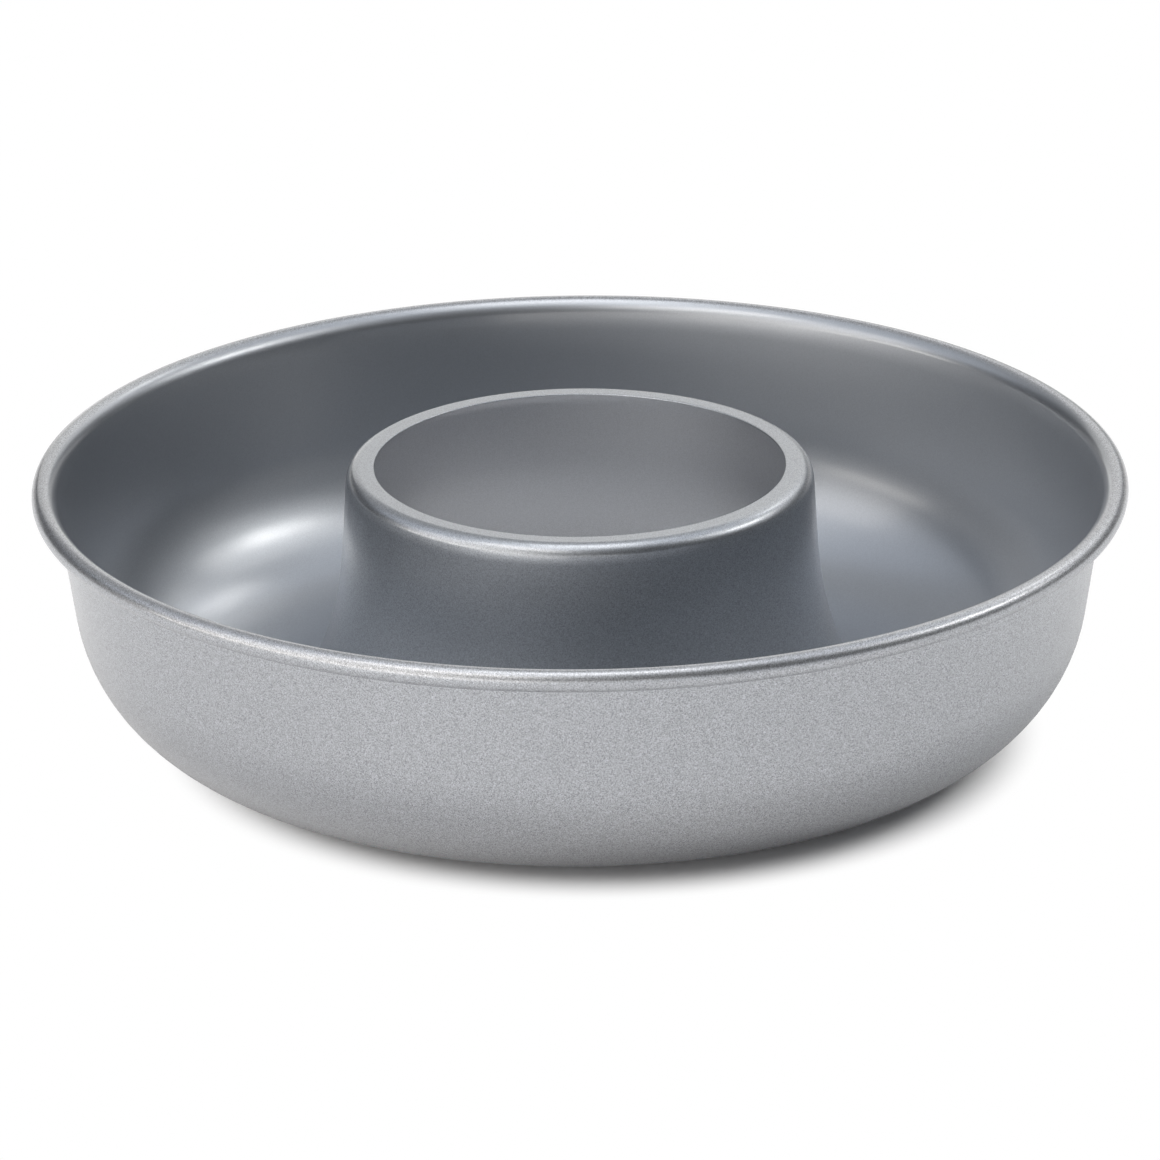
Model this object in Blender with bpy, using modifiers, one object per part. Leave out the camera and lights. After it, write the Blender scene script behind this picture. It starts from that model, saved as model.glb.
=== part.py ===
"""Savarin mould: a ring cake tin drawn from one steel sheet, with a wire rolled into its rim.

Units are metres and +Z is up. The origin is the centre of the circle that the mould rests on.
The mould is a turned shape, so each piece is described by its section at +X.
"""

import math

import bpy

# Rim
RIM_RADIUS = 0.1300                    # outermost radius of the rolled rim
RIM_HEIGHT = 0.0632                    # top of the rolled rim above the resting plane
WIRE_DIAMETER = 0.0034                 # steel wire that the rim is rolled round
WIRE_CLEARANCE = 0.0003                # space between the wire and the sheet rolled round it
SEAM_GAP = 0.0004                      # slot between the sheet's cut edge and the wall

# Outer wall
SHEET = 0.0006                         # thickness of the steel
FLARE_LEAN = math.radians(20.0)        # lean from vertical where the wall turns into the rim
FLARE_RADIUS = 0.0440                  # sweep that opens the top of the wall
WALL_LEAN = math.radians(8.35)         # lean from vertical of the wall's straight stretch
CORNER_RADIUS = 0.0377                 # outside radius of the rounded bottom corner
REST_RING_WIDTH = 0.0025               # flat ring that the mould stands on

# Centre tube
TUBE_HEIGHT = 0.0654                   # top of the tube above the resting plane
HOLE_RADIUS = 0.0488                   # opening pierced in the top of the tube
LEDGE_WIDTH = 0.0033                   # flat ring left round the opening
SHOULDER_RADIUS = 0.0035               # rounded edge between the flat ring and the flank
TUBE_LEAN = math.radians(3.4)          # lean from vertical of the flank's straight stretch
FLANK_HEIGHT = 0.0160                  # straight stretch of the flank, below the shoulder

# Fineness of the facets
TURN_STEPS = 72                        # facets round the whole mould
WIRE_SIDES = 8                         # facets round the wire
SHOULDER_STEPS = 4
FOOT_STEPS = 7
CORNER_STEPS = 6
FLARE_STEPS = 2
CURL_STEPS = (3, 4, 6)                 # up to the crown, down to the widest point, round to the end

SMOOTH_ANGLE = math.radians(35.0)      # edges sharper than this stay crisp
MERGE_DISTANCE = 0.00001               # joins the last facet of the turn to the first

CURL_RADIUS = WIRE_DIAMETER / 2 + WIRE_CLEARANCE + SHEET
CURL_CENTRE = (RIM_RADIUS - CURL_RADIUS, RIM_HEIGHT - CURL_RADIUS)


def left_of(heading):
    """Unit vector to the left of a heading, which is measured from +X towards +Z."""
    return -math.sin(heading), math.cos(heading)


def spread(start, end, steps):
    """Values after start, evenly spaced, the last one being end."""
    return [start + (end - start) * i / steps for i in range(1, steps + 1)]


def right_turn(centre, radius, start, end, steps):
    """Stations along an arc whose centre lies to the right of the path."""
    stations = []
    for heading in spread(start, end, steps):
        side_r, side_z = left_of(heading)
        stations.append((centre[0] + radius * side_r, centre[1] + radius * side_z, heading))
    return stations


def left_turn(centre, radius, start, end, steps):
    """Stations along an arc whose centre lies to the left of the path."""
    return right_turn(centre, -radius, start, end, steps)


def foot_sweep(top_r, top_z, floor_r):
    """Stations down the quarter ellipse from the tube's flank to the flat floor.

    The ellipse touches the flank at (top_r, top_z) with the flank's lean, and touches
    the floor at floor_r. Its angle is measured down from its widest height.
    """
    reach = floor_r - top_r
    drop = top_z - SHEET
    ratio = math.tan(TUBE_LEAN) * drop / reach
    first = math.asin(ratio / (1.0 - ratio))
    half_width = reach / math.cos(first)
    half_height = drop / (1.0 - math.sin(first))
    stations = []
    for angle in [first] + spread(first, math.pi / 2, FOOT_STEPS):
        r = floor_r - half_width * math.cos(angle)
        z = SHEET + half_height * (1.0 - math.sin(angle))
        run = half_width * math.sin(angle)
        fall = half_height * math.cos(angle)
        stations.append((r, z, math.atan2(-fall, run)))
    return stations


def flare_start():
    """Centre of the flare, which meets the curl, and the point where it leaves the wall."""
    rim_side = left_of(math.pi / 2 - FLARE_LEAN)
    wall_side = left_of(math.pi / 2 - WALL_LEAN)
    centre_r = CURL_CENTRE[0] + (CURL_RADIUS - FLARE_RADIUS) * rim_side[0]
    centre_z = CURL_CENTRE[1] + (CURL_RADIUS - FLARE_RADIUS) * rim_side[1]
    start_r = centre_r + FLARE_RADIUS * wall_side[0]
    start_z = centre_z + FLARE_RADIUS * wall_side[1]
    return (centre_r, centre_z), (start_r, start_z)


def corner_centre():
    """Centre of the bottom corner, which touches the wall and the floor."""
    wall_top = flare_start()[1]
    inset = (CORNER_RADIUS - SHEET) / math.cos(WALL_LEAN)
    r = wall_top[0] - (wall_top[1] - CORNER_RADIUS) * math.tan(WALL_LEAN) - inset
    return r, CORNER_RADIUS


def tube_stations():
    """Opening's edge, flat ledge, shoulder, flank and foot, down to the floor."""
    flank_heading = TUBE_LEAN - math.pi / 2
    shoulder = (HOLE_RADIUS + LEDGE_WIDTH, TUBE_HEIGHT - SHOULDER_RADIUS)
    stations = [(HOLE_RADIUS, TUBE_HEIGHT, 0.0), (shoulder[0], TUBE_HEIGHT, 0.0)]
    stations += right_turn(shoulder, SHOULDER_RADIUS, 0.0, flank_heading, SHOULDER_STEPS)
    flank_r = stations[-1][0] + FLANK_HEIGHT * math.tan(TUBE_LEAN)
    flank_z = stations[-1][1] - FLANK_HEIGHT
    stations += foot_sweep(flank_r, flank_z, corner_centre()[0] - REST_RING_WIDTH)
    return stations


def wall_stations():
    """Rest ring's outer edge, bottom corner, straight wall and flare, up to the rim."""
    wall_heading = math.pi / 2 - WALL_LEAN
    rim_heading = math.pi / 2 - FLARE_LEAN
    corner = corner_centre()
    flare_centre, flare_foot = flare_start()
    stations = [(corner[0], SHEET, 0.0)]
    stations += left_turn(corner, CORNER_RADIUS - SHEET, 0.0, wall_heading, CORNER_STEPS)
    stations.append((flare_foot[0], flare_foot[1], wall_heading))
    stations += right_turn(flare_centre, FLARE_RADIUS, wall_heading, rim_heading, FLARE_STEPS)
    return stations


def curl_stations():
    """Over the crown, round the wire and in again to a cut edge just clear of the wall."""
    start = math.pi / 2 - FLARE_LEAN
    unrolled = math.acos(1.0 - (SHEET + SEAM_GAP) / CURL_RADIUS)
    marks = (start, 0.0, -math.pi / 2, start + unrolled - 2 * math.pi)
    stations = []
    for first, last, steps in zip(marks, marks[1:], CURL_STEPS):
        stations += right_turn(CURL_CENTRE, CURL_RADIUS, first, last, steps)
    return stations


def sheet_section():
    """Closed outline of the sheet: out along its channel side and back along its other side."""
    channel_side = []
    back_side = []
    for r, z, heading in tube_stations() + wall_stations() + curl_stations():
        side_r, side_z = left_of(heading)
        channel_side.append((r, z))
        back_side.append((r - SHEET * side_r, z - SHEET * side_z))
    return channel_side + back_side[::-1]


def metal(name, colour, metallic, roughness):
    """A plain metal-like material."""
    material = bpy.data.materials.new(name)
    material.use_nodes = True
    shader = material.node_tree.nodes["Principled BSDF"]
    shader.inputs["Base Color"].default_value = (*colour, 1.0)
    shader.inputs["Metallic"].default_value = metallic
    shader.inputs["Roughness"].default_value = roughness
    return material


def nonstick_coat():
    """Silver-grey non-stick coat, baked on the steel."""
    return metal("nonstick_coat", (0.33, 0.34, 0.36), 0.85, 0.36)


def bare_wire():
    """Bright drawn steel wire."""
    return metal("bare_wire", (0.56, 0.56, 0.57), 1.0, 0.30)


def place(item, collection, material):
    """Put an object in the collection, smooth-shaded and with its material."""
    for owner in list(item.users_collection):
        owner.objects.unlink(item)
    collection.objects.link(item)
    item.data.materials.clear()
    item.data.materials.append(material)
    item.data.shade_smooth()
    item.data.set_sharp_from_angle(angle=SMOOTH_ANGLE)


def make_mould_shell(collection):
    """Tube, floor, wall and rolled rim, drawn in one piece from a single sheet."""
    section = sheet_section()
    count = len(section)
    points = [(r, 0.0, z) for r, z in section]
    edges = [(i, (i + 1) % count) for i in range(count)]
    mesh = bpy.data.meshes.new("mould_shell")
    mesh.from_pydata(points, edges, [])
    shell = bpy.data.objects.new("mould_shell", mesh)
    place(shell, collection, nonstick_coat())
    turn = shell.modifiers.new("Turn", "SCREW")
    turn.axis = "Z"
    turn.angle = 2 * math.pi
    turn.screw_offset = 0.0
    turn.steps = TURN_STEPS
    turn.render_steps = TURN_STEPS
    turn.use_merge_vertices = True
    turn.merge_threshold = MERGE_DISTANCE
    turn.use_smooth_shade = True


def make_rim_wire(collection):
    """Ring of wire, welded end to end, that the rim is rolled round."""
    bpy.ops.mesh.primitive_torus_add(
        major_radius=CURL_CENTRE[0],
        minor_radius=WIRE_DIAMETER / 2,
        major_segments=TURN_STEPS,
        minor_segments=WIRE_SIDES,
        location=(0.0, 0.0, CURL_CENTRE[1]),
    )
    wire = bpy.context.object
    wire.name = "rim_wire"
    wire.data.name = "rim_wire"
    place(wire, collection, bare_wire())


def main():
    for item in list(bpy.data.objects):
        bpy.data.objects.remove(item, do_unlink=True)
    collection = bpy.data.collections.new("savarin_mould")
    bpy.context.scene.collection.children.link(collection)
    make_mould_shell(collection)
    make_rim_wire(collection)


main()
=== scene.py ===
"""Savarin mould in a white studio: a fine turned shell, its coat, the lights and the camera.

Units are metres and +Z is up. The mould is a turned shape, so it is described by its section at +X.
A station of the section is (r, z, heading), and a heading is measured from +X towards +Z.
"""
import math

import bpy
from mathutils import Matrix, Vector


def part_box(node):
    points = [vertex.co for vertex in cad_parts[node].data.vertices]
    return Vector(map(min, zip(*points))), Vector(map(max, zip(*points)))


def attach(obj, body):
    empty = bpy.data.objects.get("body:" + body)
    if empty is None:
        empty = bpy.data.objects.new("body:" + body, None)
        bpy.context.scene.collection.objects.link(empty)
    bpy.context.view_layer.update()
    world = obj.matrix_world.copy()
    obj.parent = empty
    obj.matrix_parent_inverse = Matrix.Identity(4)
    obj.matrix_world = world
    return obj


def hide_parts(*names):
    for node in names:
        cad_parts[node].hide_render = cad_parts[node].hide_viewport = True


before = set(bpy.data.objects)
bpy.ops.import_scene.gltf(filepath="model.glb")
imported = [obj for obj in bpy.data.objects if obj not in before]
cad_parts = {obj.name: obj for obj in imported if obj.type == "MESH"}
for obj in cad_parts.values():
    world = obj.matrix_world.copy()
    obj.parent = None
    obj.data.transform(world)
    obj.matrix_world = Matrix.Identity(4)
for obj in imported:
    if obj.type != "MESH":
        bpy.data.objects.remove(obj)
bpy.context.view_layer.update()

# Sizes of the section that the boxes of the frame's nodes don't give
SHEET = 0.0006                         # thickness
WIRE_CLEARANCE = 0.0003                # between the wire and the sheet that is rolled round it
FLARE_LEAN = math.radians(20.0)        # lean from vertical where the CAD's flare meets the curl
FLARE_RADIUS = 0.0440
WALL_LEAN = math.radians(8.35)
CORNER_RADIUS = 0.0377
REST_RING_WIDTH = 0.0025
HOLE_RADIUS = 0.0488
LEDGE_WIDTH = 0.0033
SHOULDER_RADIUS = 0.0035
TUBE_LEAN = math.radians(3.4)
FLANK_HEIGHT = 0.0160                  # height of the straight part of the tube's flank

# Finer shape of the visible shell, where the photograph shows softer turns than one arc can give
RIM_TURN_LEAN = math.radians(14.0)     # lean from vertical where the flare turns into the rim
RIM_TURN_RADIUS = 0.0050               # turn between the flare and the curl
CURL_END_LEAN = math.radians(-21.6)    # place on the curl where its cut edge stops, clear of the wall
EASE_TURN = math.radians(8.6)          # last part of the shoulder's turn, which eases into the flank
EASE_RADIUS = 0.0150

# Fineness of the visible shell
TURN_STEPS = 288
SHOULDER_STEPS = 8
EASE_STEPS = 4
FOOT_STEPS = 24
CORNER_STEPS = 18
FLARE_STEPS = 4
RIM_TURN_STEPS = 8
CURL_STEPS = 40
EDGE_STEPS = 4

# Camera
PICTURE = 1160.0                       # width and height of the picture, in pixels
FOCAL_PIXELS = 8673.0
SENSOR_WIDTH = 36.0
CAMERA_DISTANCE = 2.081
CAMERA_ELEVATION = math.radians(21.946)
CAMERA_ROLL = math.radians(0.502)      # clockwise turn of the picture
CAMERA_CLIP = (0.05, 40.0)
AIM = (-0.0002, 0.0, 0.0358)

# Coat: grey metal with a grain, under a clear coat
# The inner colour is partly the coat's own darker tone and partly painted shade of the channel; the
# rim takes the lighter outer colour, partly as painted light.
COAT_AND_PAINTED_SHADE_INSIDE = (0.405, 0.430, 0.468)
COAT_OUTSIDE = (0.457, 0.472, 0.502)
ROUGHNESS_INSIDE = 0.43
ROUGHNESS_OUTSIDE = 0.46
FLAKE_SCALE = 5500.0                   # flakes of the coat, per metre
GRAIN_INSIDE = 0.15
GRAIN_OUTSIDE = 1.10
GRAIN_ON_TUBE = 0.65
GRAIN_UNDER_TUBE = 0.25
PAINTED_LIGHT_IN_TUBE = 0.21                 # how much lighter the coat is painted inside the tube: painted light, as if lit through the opening
SIDE_REACH = (0.02, -0.02)             # normal's Z between which the channel's side turns outer
RIM_REACH = (0.1254, 0.1266)           # radii between which the channel's finish turns into the rim's lighter outer one, partly painted light on the rim
TUBE_REACH = (0.068, 0.058)            # radii between which the channel's finish turns into the tube's, where the painted light inside the tube begins
CLEAR_WEIGHT = 1.0
CLEAR_ROUGHNESS = 0.20
CLEAR_IOR = 1.75

# Wire: drawn steel with fine marks
WIRE_DARK = (0.50, 0.50, 0.51)
WIRE_LIGHT = (0.62, 0.62, 0.63)
WIRE_ROUGHNESS = 0.30
MARK_SCALE = 900.0
MARK_DETAIL = 3.0

# Studio
FLOOR_COLOUR = (0.98, 0.98, 0.98)
FLOOR_RADIUS = 8.0
FLOOR_SIDES = 64
SHADOW_CENTRE = (0.0045, -0.005)       # the shadow falls a little to the front right
SHADOW_SEEN = (0.0895, 0.1065)         # radii where the floor starts to clear and where it is white
SHADOW_MIRRORED = (0.15, 0.50)         # the same for the floor that shows in the metal
LAMP_DISTANCE = 1.0
BOARD_DISTANCE = 1.35
BOARD_COLUMNS = 24
BOARD_ROWS = 6
ROOM_LEVEL = 0.65                      # brightness of the room, where 1 is white
ROOM_TINT = (0.92, 0.98, 1.08)
WARM = (1.05, 1.0, 0.94)
NEUTRAL = (1.01, 1.0, 0.98)

# Softboxes: azimuth and elevation, half width and half height, tilt, all in degrees, then
# brightness, where 1 is white, and tint
SOFTBOXES = {
    "softbox_key": (-124.0, 52.0, 19.0, 8.0, -23.0, 2.10, WARM),
    "softbox_top": (-115.3, 69.7, 13.0, 30.0, -44.1, 0.73, WARM),
    "softbox_overhead": (0.0, 89.0, 12.0, 12.0, 0.0, 2.0, NEUTRAL),
    "softbox_left": (-145.0, 30.0, 30.0, 12.0, -12.0, 1.30, WARM),
    "softbox_left_strip": (-160.0, 14.0, 22.0, 3.6, 0.0, 3.7, WARM),
    "softbox_front_strip": (-105.0, 14.0, 33.0, 3.6, 0.0, 1.28, WARM),
    "softbox_front_low": (-118.0, 6.5, 20.0, 3.4, 0.0, 2.68, WARM),
    "softbox_right": (3.0, 36.7, 9.5, 5.5, -27.0, 1.95, NEUTRAL),
    "softbox_right_middle": (3.3, 36.6, 5.5, 3.5, -27.0, 3.75, NEUTRAL),
    "softbox_right_lower": (8.5, 34.4, 4.5, 3.5, -27.0, 4.9, NEUTRAL),
    "softbox_right_upper": (-4.0, 39.3, 4.5, 3.5, -27.0, 2.4, NEUTRAL),
    "softbox_right_lower_end": (20.5, 30.5, 6.0, 5.0, -30.0, 1.85, NEUTRAL),
    "softbox_right_upper_end": (-14.0, 45.0, 6.0, 5.0, -30.0, 1.6, NEUTRAL),
    "softbox_right_above": (9.2, 46.2, 20.0, 4.0, -27.0, 1.18, NEUTRAL),
    "softbox_right_below": (-2.5, 27.0, 20.0, 4.0, -27.0, 0.6, NEUTRAL),
    "softbox_back": (78.0, 28.6, 37.3, 14.4, -21.7, 0.83, NEUTRAL),
    "softbox_back_low": (90.0, 5.0, 40.0, 4.0, 0.0, 0.64, NEUTRAL),
    "softbox_back_right": (46.5, 40.5, 6.0, 4.0, -35.0, 2.4, NEUTRAL),
}

# Boards: first and last azimuth, lower and upper elevation, in degrees, and brightness
BOARDS = {
    "board_front_high": (-92.0, -32.0, 17.0, 62.0, 0.0),
    "board_front_low": (-150.0, 42.0, 9.3, 51.0, 0.0),
    "board_horizon": (-35.0, 213.0, 0.0, 27.0, 0.0),
    "board_back_left": (48.0, 146.0, 25.9, 76.7, 0.37),
}


def left_of(heading):
    """Unit vector to the left of a heading."""
    return -math.sin(heading), math.cos(heading)


def beyond(start, way, distance):
    """Point at a distance from another, along a unit vector."""
    return start[0] + distance * way[0], start[1] + distance * way[1]


def spread(start, end, steps):
    """Values after start, evenly spaced, the last one being end."""
    return [start + (end - start) * i / steps for i in range(1, steps + 1)]


def right_turn(centre, radius, start, end, steps):
    """Stations along an arc whose centre lies to the right of the path."""
    stations = []
    for heading in spread(start, end, steps):
        stations.append((*beyond(centre, left_of(heading), radius), heading))
    return stations


def left_turn(centre, radius, start, end, steps):
    """Stations along an arc whose centre lies to the left of the path."""
    return right_turn(centre, -radius, start, end, steps)


class Section:
    """The sheet's section, with its overall sizes taken from the frame."""

    def __init__(self):
        shell_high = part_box("mould_shell")[1]
        wire_low, wire_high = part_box("rim_wire")
        self.tube_height = shell_high.z
        self.curl_radius = (wire_high.z - wire_low.z) / 2 + WIRE_CLEARANCE + SHEET
        self.curl_centre = (shell_high.x - self.curl_radius, (wire_high.z + wire_low.z) / 2)

    def wall_top(self):
        """Point where the straight wall ends and the CAD's flare, which meets the curl, starts."""
        rim_side = left_of(math.pi / 2 - FLARE_LEAN)
        wall_side = left_of(math.pi / 2 - WALL_LEAN)
        flare_centre = beyond(self.curl_centre, rim_side, self.curl_radius - FLARE_RADIUS)
        return beyond(flare_centre, wall_side, FLARE_RADIUS)

    def rim_turn(self):
        """Lean at which the rim's turn meets the curl, and the centres of that turn and the flare."""
        wall_side = left_of(math.pi / 2 - WALL_LEAN)
        wall_top = self.wall_top()
        reach = (wall_top[0] - self.curl_centre[0]) * wall_side[0]
        reach += (wall_top[1] - self.curl_centre[1]) * wall_side[1]
        sweep = (RIM_TURN_RADIUS - FLARE_RADIUS) * math.cos(RIM_TURN_LEAN - WALL_LEAN)
        cosine = (reach - FLARE_RADIUS - sweep) / (self.curl_radius - RIM_TURN_RADIUS)
        lean = WALL_LEAN + math.acos(cosine)
        curl_side = left_of(math.pi / 2 - lean)
        turn_side = left_of(math.pi / 2 - RIM_TURN_LEAN)
        turn = beyond(self.curl_centre, curl_side, self.curl_radius - RIM_TURN_RADIUS)
        flare = beyond(turn, turn_side, RIM_TURN_RADIUS - FLARE_RADIUS)
        return lean, turn, flare

    def corner_centre(self):
        """Centre of the bottom corner, which touches the wall and the floor."""
        wall_top = self.wall_top()
        inset = (CORNER_RADIUS - SHEET) / math.cos(WALL_LEAN)
        r = wall_top[0] - (wall_top[1] - CORNER_RADIUS) * math.tan(WALL_LEAN) - inset
        return r, CORNER_RADIUS

    def foot(self, top_r, top_z, floor_r):
        """Stations down the quarter ellipse from the tube's flank to the flat floor."""
        reach = floor_r - top_r
        drop = top_z - SHEET
        ratio = math.tan(TUBE_LEAN) * drop / reach
        first = math.asin(ratio / (1.0 - ratio))
        half_width = reach / math.cos(first)
        half_height = drop / (1.0 - math.sin(first))
        stations = []
        for angle in [first] + spread(first, math.pi / 2, FOOT_STEPS):
            r = floor_r - half_width * math.cos(angle)
            z = SHEET + half_height * (1.0 - math.sin(angle))
            heading = math.atan2(-half_height * math.cos(angle), half_width * math.sin(angle))
            stations.append((r, z, heading))
        return stations

    def tube(self):
        """Opening's edge, flat ledge, shoulder, flank and foot, down to the floor."""
        flank_heading = TUBE_LEAN - math.pi / 2
        ease_heading = flank_heading + EASE_TURN
        corner = (HOLE_RADIUS + LEDGE_WIDTH, self.tube_height - SHOULDER_RADIUS)
        flank_top = beyond(corner, left_of(flank_heading), SHOULDER_RADIUS)
        radius = EASE_RADIUS - (EASE_RADIUS - SHOULDER_RADIUS) / math.cos(EASE_TURN)
        shoulder = (corner[0], self.tube_height - radius)
        ease = beyond(shoulder, left_of(ease_heading), radius - EASE_RADIUS)
        stations = [
            (HOLE_RADIUS + SHEET / 2, self.tube_height, 0.0),
            (shoulder[0], self.tube_height, 0.0),
        ]
        stations += right_turn(shoulder, radius, 0.0, ease_heading, SHOULDER_STEPS)
        stations += right_turn(ease, EASE_RADIUS, ease_heading, flank_heading, EASE_STEPS)
        flank_r = flank_top[0] + FLANK_HEIGHT * math.tan(TUBE_LEAN)
        flank_z = flank_top[1] - FLANK_HEIGHT
        return stations + self.foot(flank_r, flank_z, self.corner_centre()[0] - REST_RING_WIDTH)

    def wall(self):
        """Rest ring's outer edge, bottom corner, straight wall and flare, up to the rim."""
        wall_heading = math.pi / 2 - WALL_LEAN
        turn_heading = math.pi / 2 - RIM_TURN_LEAN
        corner = self.corner_centre()
        lean, turn, flare = self.rim_turn()
        curl_heading = math.pi / 2 - lean
        flare_foot = beyond(flare, left_of(wall_heading), FLARE_RADIUS)
        stations = [(corner[0], SHEET, 0.0)]
        stations += left_turn(corner, CORNER_RADIUS - SHEET, 0.0, wall_heading, CORNER_STEPS)
        stations.append((*flare_foot, wall_heading))
        stations += right_turn(flare, FLARE_RADIUS, wall_heading, turn_heading, FLARE_STEPS)
        stations += right_turn(turn, RIM_TURN_RADIUS, turn_heading, curl_heading, RIM_TURN_STEPS)
        return stations

    def curl(self):
        """Over the crown, round the wire and in again to a cut edge just clear of the wall."""
        start = math.pi / 2 - self.rim_turn()[0]
        end = math.pi / 2 - CURL_END_LEAN - 2 * math.pi
        return right_turn(self.curl_centre, self.curl_radius, start, end, CURL_STEPS)

    def outline(self):
        """Closed outline as (r, z, normal_r, normal_z), with both cut edges rounded."""
        path = self.tube() + self.wall() + self.curl()
        points = []
        for r, z, heading in path:
            points.append((r, z, *left_of(heading)))
        points += self.rounded_edge(path[-1])
        for r, z, heading in reversed(path):
            side_r, side_z = left_of(heading)
            points.append((r - SHEET * side_r, z - SHEET * side_z, -side_r, -side_z))
        first_r, first_z, first_heading = path[0]
        side_r, side_z = left_of(first_heading)
        back = (first_r - SHEET * side_r, first_z - SHEET * side_z, first_heading + math.pi)
        points += self.rounded_edge(back)
        return points

    def rounded_edge(self, station):
        """Half circle round the sheet's cut edge, from one side of the sheet to the other."""
        r, z, heading = station
        centre = beyond((r, z), left_of(heading), -SHEET / 2)
        arc = right_turn(centre, SHEET / 2, heading, heading - math.pi, EDGE_STEPS)
        return [(p_r, p_z, *left_of(p_heading)) for p_r, p_z, p_heading in arc[:-1]]


def turned_mesh(name, outline):
    """Turns a closed outline about +Z, with the outline's own normals on the surface."""
    count = len(outline)
    points = []
    normals = []
    for k in range(TURN_STEPS):
        angle = 2 * math.pi * k / TURN_STEPS
        cos, sin = math.cos(angle), math.sin(angle)
        for r, z, normal_r, normal_z in outline:
            points.append((r * cos, r * sin, z))
            normals.append((normal_r * cos, normal_r * sin, normal_z))
    faces = []
    for k in range(TURN_STEPS):
        here = k * count
        after = (k + 1) % TURN_STEPS * count
        for i in range(count):
            j = (i + 1) % count
            faces.append((here + i, here + j, after + j, after + i))
    mesh = bpy.data.meshes.new(name)
    mesh.from_pydata(points, [], faces)
    mesh.shade_smooth()
    mesh.normals_split_custom_set_from_vertices(normals)
    return mesh


class Nodes:
    """Short hand for building a material's node tree."""

    def __init__(self, name):
        self.material = bpy.data.materials.new(name)
        self.material.use_nodes = True
        self.tree = self.material.node_tree
        self.shader = self.tree.nodes["Principled BSDF"]

    def add(self, kind, **settings):
        """Adds a node. A setting is one of its attributes or else one of its inputs."""
        node = self.tree.nodes.new(kind)
        for key, value in settings.items():
            if hasattr(node, key):
                setattr(node, key, value)
            else:
                node.inputs[key.replace("_", " ")].default_value = value
        return node

    def link(self, source, target):
        self.tree.links.new(source, target)

    def give(self, value, target):
        """Sets an input to a number, or links another node's output to it."""
        if isinstance(value, float):
            target.default_value = value
        else:
            self.link(value, target)

    def math(self, operation, *values):
        """Works with two values, each of them a number or another node's output."""
        node = self.add("ShaderNodeMath", operation=operation)
        for value, target in zip(values, node.inputs):
            self.give(value, target)
        return node.outputs["Value"]

    def between(self, value, start, end, low, high, interpolation="LINEAR"):
        """Goes from low to high while the value goes from start to end."""
        node = self.add("ShaderNodeMapRange", interpolation_type=interpolation)
        values = {"Value": value, "From Min": start, "From Max": end, "To Min": low, "To Max": high}
        for name, given in values.items():
            self.give(given, node.inputs[name])
        return node.outputs["Result"]

    def length(self, vector):
        """Length of a vector."""
        node = self.add("ShaderNodeVectorMath", operation="LENGTH")
        self.link(vector, node.inputs[0])
        return node.outputs["Value"]

    def show(self, shader):
        """Makes a shader the surface."""
        self.link(shader, self.tree.nodes["Material Output"].inputs["Surface"])


def coat_places(nodes, place):
    """Masks of the outer side with the rim, and of the tube, both from 0 to 1."""
    normal = nodes.add("ShaderNodeSeparateXYZ")
    nodes.link(place.outputs["Normal"], normal.inputs["Vector"])
    level = nodes.add("ShaderNodeVectorMath", operation="MULTIPLY")
    level.inputs[1].default_value = (1.0, 1.0, 0.0)
    nodes.link(place.outputs["Object"], level.inputs[0])
    radius = nodes.length(level.outputs["Vector"])
    under = nodes.between(normal.outputs["Z"], *SIDE_REACH, 0.0, 1.0)
    rim = nodes.between(radius, *RIM_REACH, 0.0, 1.0)
    tube = nodes.between(radius, *TUBE_REACH, 0.0, 1.0)
    return nodes.math("MAXIMUM", under, rim), tube


def grain_and_painted_light(nodes, place, outside, tube):
    """Brightness of the coat about its own colour: the flakes, and painted light that makes the inside
    of the tube lighter.
    """
    flakes = nodes.add("ShaderNodeTexVoronoi", Scale=FLAKE_SCALE)
    nodes.link(place.outputs["Object"], flakes.inputs["Vector"])
    flake = nodes.math("SUBTRACT", flakes.outputs["Color"], 0.5)
    inner_grain = nodes.between(tube, 0.0, 1.0, GRAIN_INSIDE, GRAIN_ON_TUBE)
    outer_grain = nodes.between(tube, 0.0, 1.0, GRAIN_OUTSIDE, GRAIN_UNDER_TUBE)
    grain = nodes.between(outside, 0.0, 1.0, inner_grain, outer_grain)
    # Painted light: the coat inside the tube is made lighter, as if by light coming in through the
    # opening.
    painted_light_in_tube = nodes.math("MULTIPLY", nodes.math("MULTIPLY", outside, tube), PAINTED_LIGHT_IN_TUBE)
    base = nodes.math("ADD", painted_light_in_tube, 1.0)
    return nodes.math("ADD", nodes.math("MULTIPLY", flake, grain), base)


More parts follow.
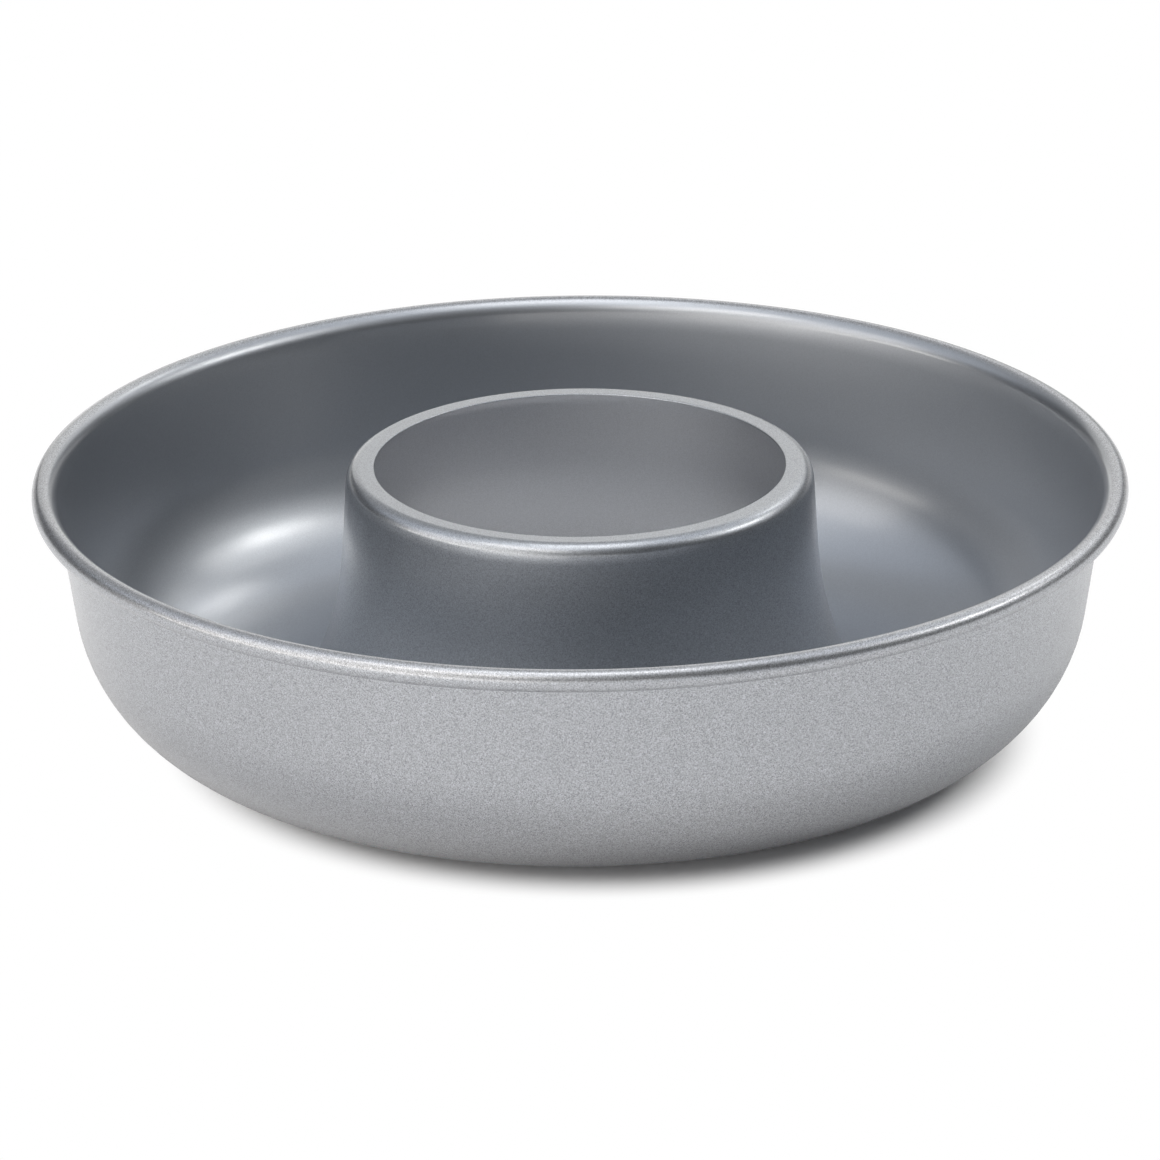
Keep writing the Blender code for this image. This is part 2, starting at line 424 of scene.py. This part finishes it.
def nonstick_coat():
    """Metallic non-stick coat: darker and smooth in the channel, lighter and grainy outside. The
    channel's darker, bluer colour is partly the coat's own tone and partly painted shade, and the
    inside of the tube has painted light.
    """
    nodes = Nodes("nonstick_coat")
    place = nodes.add("ShaderNodeTexCoord")
    outside, tube = coat_places(nodes, place)
    tone = grain_and_painted_light(nodes, place, outside, tube)
    paint = nodes.add("ShaderNodeMix", data_type="RGBA")
    nodes.link(outside, paint.inputs[0])
    paint.inputs[6].default_value = (*COAT_AND_PAINTED_SHADE_INSIDE, 1.0)
    paint.inputs[7].default_value = (*COAT_OUTSIDE, 1.0)
    colour = nodes.add("ShaderNodeVectorMath", operation="SCALE")
    nodes.link(paint.outputs[2], colour.inputs["Vector"])
    nodes.link(tone, colour.inputs["Scale"])
    nodes.link(colour.outputs["Vector"], nodes.shader.inputs["Base Color"])
    roughness = nodes.between(outside, 0.0, 1.0, ROUGHNESS_INSIDE, ROUGHNESS_OUTSIDE)
    nodes.link(roughness, nodes.shader.inputs["Roughness"])
    nodes.shader.inputs["Metallic"].default_value = 1.0
    nodes.shader.inputs["Coat Weight"].default_value = CLEAR_WEIGHT
    nodes.shader.inputs["Coat Roughness"].default_value = CLEAR_ROUGHNESS
    nodes.shader.inputs["Coat IOR"].default_value = CLEAR_IOR
    return nodes.material


def bare_wire():
    """Bright drawn steel, with fine marks all over."""
    nodes = Nodes("bare_wire")
    place = nodes.add("ShaderNodeTexCoord")
    marks = nodes.add("ShaderNodeTexNoise", Scale=MARK_SCALE, Detail=MARK_DETAIL)
    nodes.link(place.outputs["Object"], marks.inputs["Vector"])
    tone = nodes.add("ShaderNodeValToRGB")
    tone.color_ramp.elements[0].color = (*WIRE_DARK, 1.0)
    tone.color_ramp.elements[1].color = (*WIRE_LIGHT, 1.0)
    nodes.link(marks.outputs["Fac"], tone.inputs["Fac"])
    nodes.link(tone.outputs["Color"], nodes.shader.inputs["Base Color"])
    nodes.shader.inputs["Metallic"].default_value = 1.0
    nodes.shader.inputs["Roughness"].default_value = WIRE_ROUGHNESS
    return nodes.material


def make_shell():
    """The visible shell, which stands for the CAD shell."""
    mesh = turned_mesh("shell_surface", Section().outline())
    mesh.materials.append(nonstick_coat())
    shell = bpy.data.objects.new("shell_surface", mesh)
    bpy.context.scene.collection.objects.link(shell)
    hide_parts("mould_shell")
    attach(shell, "root")


def dress_wire():
    """Puts the steel on the CAD wire, which stays as it is."""
    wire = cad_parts["rim_wire"]
    wire.data.materials.clear()
    wire.data.materials.append(bare_wire())


def floor_share(nodes):
    """Share of plain white in the floor: more away from the mould, for the camera and in the metal."""
    place = nodes.add("ShaderNodeTexCoord")
    offset = nodes.add("ShaderNodeVectorMath", operation="SUBTRACT")
    offset.inputs[1].default_value = (*SHADOW_CENTRE, 0.0)
    nodes.link(place.outputs["Object"], offset.inputs[0])
    radius = nodes.length(offset.outputs["Vector"])
    rays = nodes.add("ShaderNodeLightPath").outputs
    mirrored = nodes.math("MAXIMUM", rays["Is Glossy Ray"], rays["Is Transmission Ray"])
    clear_seen = nodes.between(radius, *SHADOW_SEEN, 0.0, 1.0, "SMOOTHSTEP")
    clear_mirrored = nodes.between(radius, *SHADOW_MIRRORED, 0.0, 1.0, "SMOOTHSTEP")
    seen = nodes.math("MULTIPLY", clear_seen, rays["Is Camera Ray"])
    return nodes.math("ADD", seen, nodes.math("MULTIPLY", clear_mirrored, mirrored))


def floor_white():
    """White floor with the mould's own shadow, plain white beyond it and clear from below."""
    nodes = Nodes("floor_white")
    nodes.shader.inputs["Base Color"].default_value = (*FLOOR_COLOUR, 1.0)
    nodes.shader.inputs["Roughness"].default_value = 1.0
    nodes.shader.inputs["Specular IOR Level"].default_value = 0.0
    glow = nodes.add("ShaderNodeEmission", Color=(1.0, 1.0, 1.0, 1.0))
    above = nodes.add("ShaderNodeMixShader")
    nodes.link(floor_share(nodes), above.inputs["Fac"])
    nodes.link(nodes.shader.outputs["BSDF"], above.inputs[1])
    nodes.link(glow.outputs["Emission"], above.inputs[2])
    below = nodes.add("ShaderNodeBsdfTransparent")
    sides = nodes.add("ShaderNodeMixShader")
    nodes.link(nodes.add("ShaderNodeNewGeometry").outputs["Backfacing"], sides.inputs["Fac"])
    nodes.link(above.outputs["Shader"], sides.inputs[1])
    nodes.link(below.outputs["BSDF"], sides.inputs[2])
    nodes.show(sides.outputs["Shader"])
    return nodes.material


def make_floor():
    """White floor that reaches the horizon."""
    mesh = bpy.data.meshes.new("floor")
    steps = range(FLOOR_SIDES)
    edge = [direction(360.0 * i / FLOOR_SIDES, 0.0) * FLOOR_RADIUS for i in steps]
    mesh.from_pydata(edge, [], [steps])
    mesh.materials.append(floor_white())
    floor = bpy.data.objects.new("floor", mesh)
    bpy.context.scene.collection.objects.link(floor)


def direction(azimuth, elevation):
    """Unit vector at an azimuth from +X and an elevation above the floor, in degrees."""
    a, e = math.radians(azimuth), math.radians(elevation)
    return Vector((math.cos(e) * math.cos(a), math.cos(e) * math.sin(a), math.sin(e)))


def make_softbox(name, azimuth, elevation, half_width, half_height, tilt, brightness, tint):
    """Rectangular softbox that faces the mould."""
    width = 2 * LAMP_DISTANCE * math.tan(math.radians(half_width))
    height = 2 * LAMP_DISTANCE * math.tan(math.radians(half_height))
    light = bpy.data.lights.new(name, "AREA")
    light.shape = "RECTANGLE"
    light.size = width
    light.size_y = height
    light.energy = brightness * math.pi * width * height
    light.color = tint
    box = bpy.data.objects.new(name, light)
    bpy.context.scene.collection.objects.link(box)
    way = direction(azimuth, elevation)
    across = direction(azimuth + 90.0, 0.0)
    level = Matrix((across, way.cross(across), way)).transposed()
    turn = level @ Matrix.Rotation(math.radians(tilt), 3, "Z")
    box.matrix_world = Matrix.Translation(way * LAMP_DISTANCE) @ turn.to_4x4()
    box.visible_camera = False


def board_mesh(name, start, end, low, high):
    """Part of a sphere round the mould, between two azimuths and two elevations."""
    points = []
    for i in range(BOARD_COLUMNS + 1):
        azimuth = start + (end - start) * i / BOARD_COLUMNS
        for j in range(BOARD_ROWS + 1):
            elevation = low + (high - low) * j / BOARD_ROWS
            points.append(direction(azimuth, elevation) * BOARD_DISTANCE)
    faces = []
    for i in range(BOARD_COLUMNS):
        for j in range(BOARD_ROWS):
            q = i * (BOARD_ROWS + 1) + j
            faces.append((q, q + 1, q + BOARD_ROWS + 2, q + BOARD_ROWS + 1))
    mesh = bpy.data.meshes.new(name)
    mesh.from_pydata(points, [], faces)
    return mesh


def make_board(name, start, end, low, high, brightness):
    """Curved board round the mould, which hides a part of the room from it."""
    mesh = board_mesh(name, start, end, low, high)
    nodes = Nodes(name)
    nodes.tree.nodes.remove(nodes.shader)
    glow = nodes.add("ShaderNodeEmission", Color=(brightness, brightness, brightness, 1.0))
    nodes.show(glow.outputs["Emission"])
    mesh.materials.append(nodes.material)
    board = bpy.data.objects.new(name, mesh)
    bpy.context.scene.collection.objects.link(board)
    board.visible_camera = False


def light_studio():
    """A grey room with softboxes in it, and boards that shade the mould from parts of the room."""
    world = bpy.data.worlds.new("studio")
    bpy.context.scene.world = world
    world.use_nodes = True
    room = world.node_tree.nodes["Background"]
    room.inputs["Color"].default_value = (*ROOM_TINT, 1.0)
    room.inputs["Strength"].default_value = ROOM_LEVEL
    for name, values in BOARDS.items():
        make_board(name, *values)
    for name, values in SOFTBOXES.items():
        make_softbox(name, *values)


def make_camera():
    """Camera at the photograph's viewing angle."""
    camera = bpy.data.cameras.new("camera")
    camera.sensor_width = SENSOR_WIDTH
    camera.lens = FOCAL_PIXELS / PICTURE * SENSOR_WIDTH
    camera.clip_start, camera.clip_end = CAMERA_CLIP
    view = bpy.data.objects.new("camera", camera)
    bpy.context.scene.collection.objects.link(view)
    reach = CAMERA_DISTANCE * math.cos(CAMERA_ELEVATION)
    rise = CAMERA_DISTANCE * math.sin(CAMERA_ELEVATION)
    place = Vector((0.0, -reach, rise))
    back = (place - Vector(AIM)).normalized()
    right = Vector((0.0, 0.0, 1.0)).cross(back).normalized()
    up = back.cross(right)
    turn = Matrix((right, up, back)).transposed() @ Matrix.Rotation(-CAMERA_ROLL, 3, "Z")
    view.matrix_world = Matrix.Translation(place) @ turn.to_4x4()
    bpy.context.scene.camera = view


def main():
    make_camera()
    make_shell()
    dress_wire()
    make_floor()
    light_studio()
    bpy.context.scene.view_settings.view_transform = "Standard"


main()
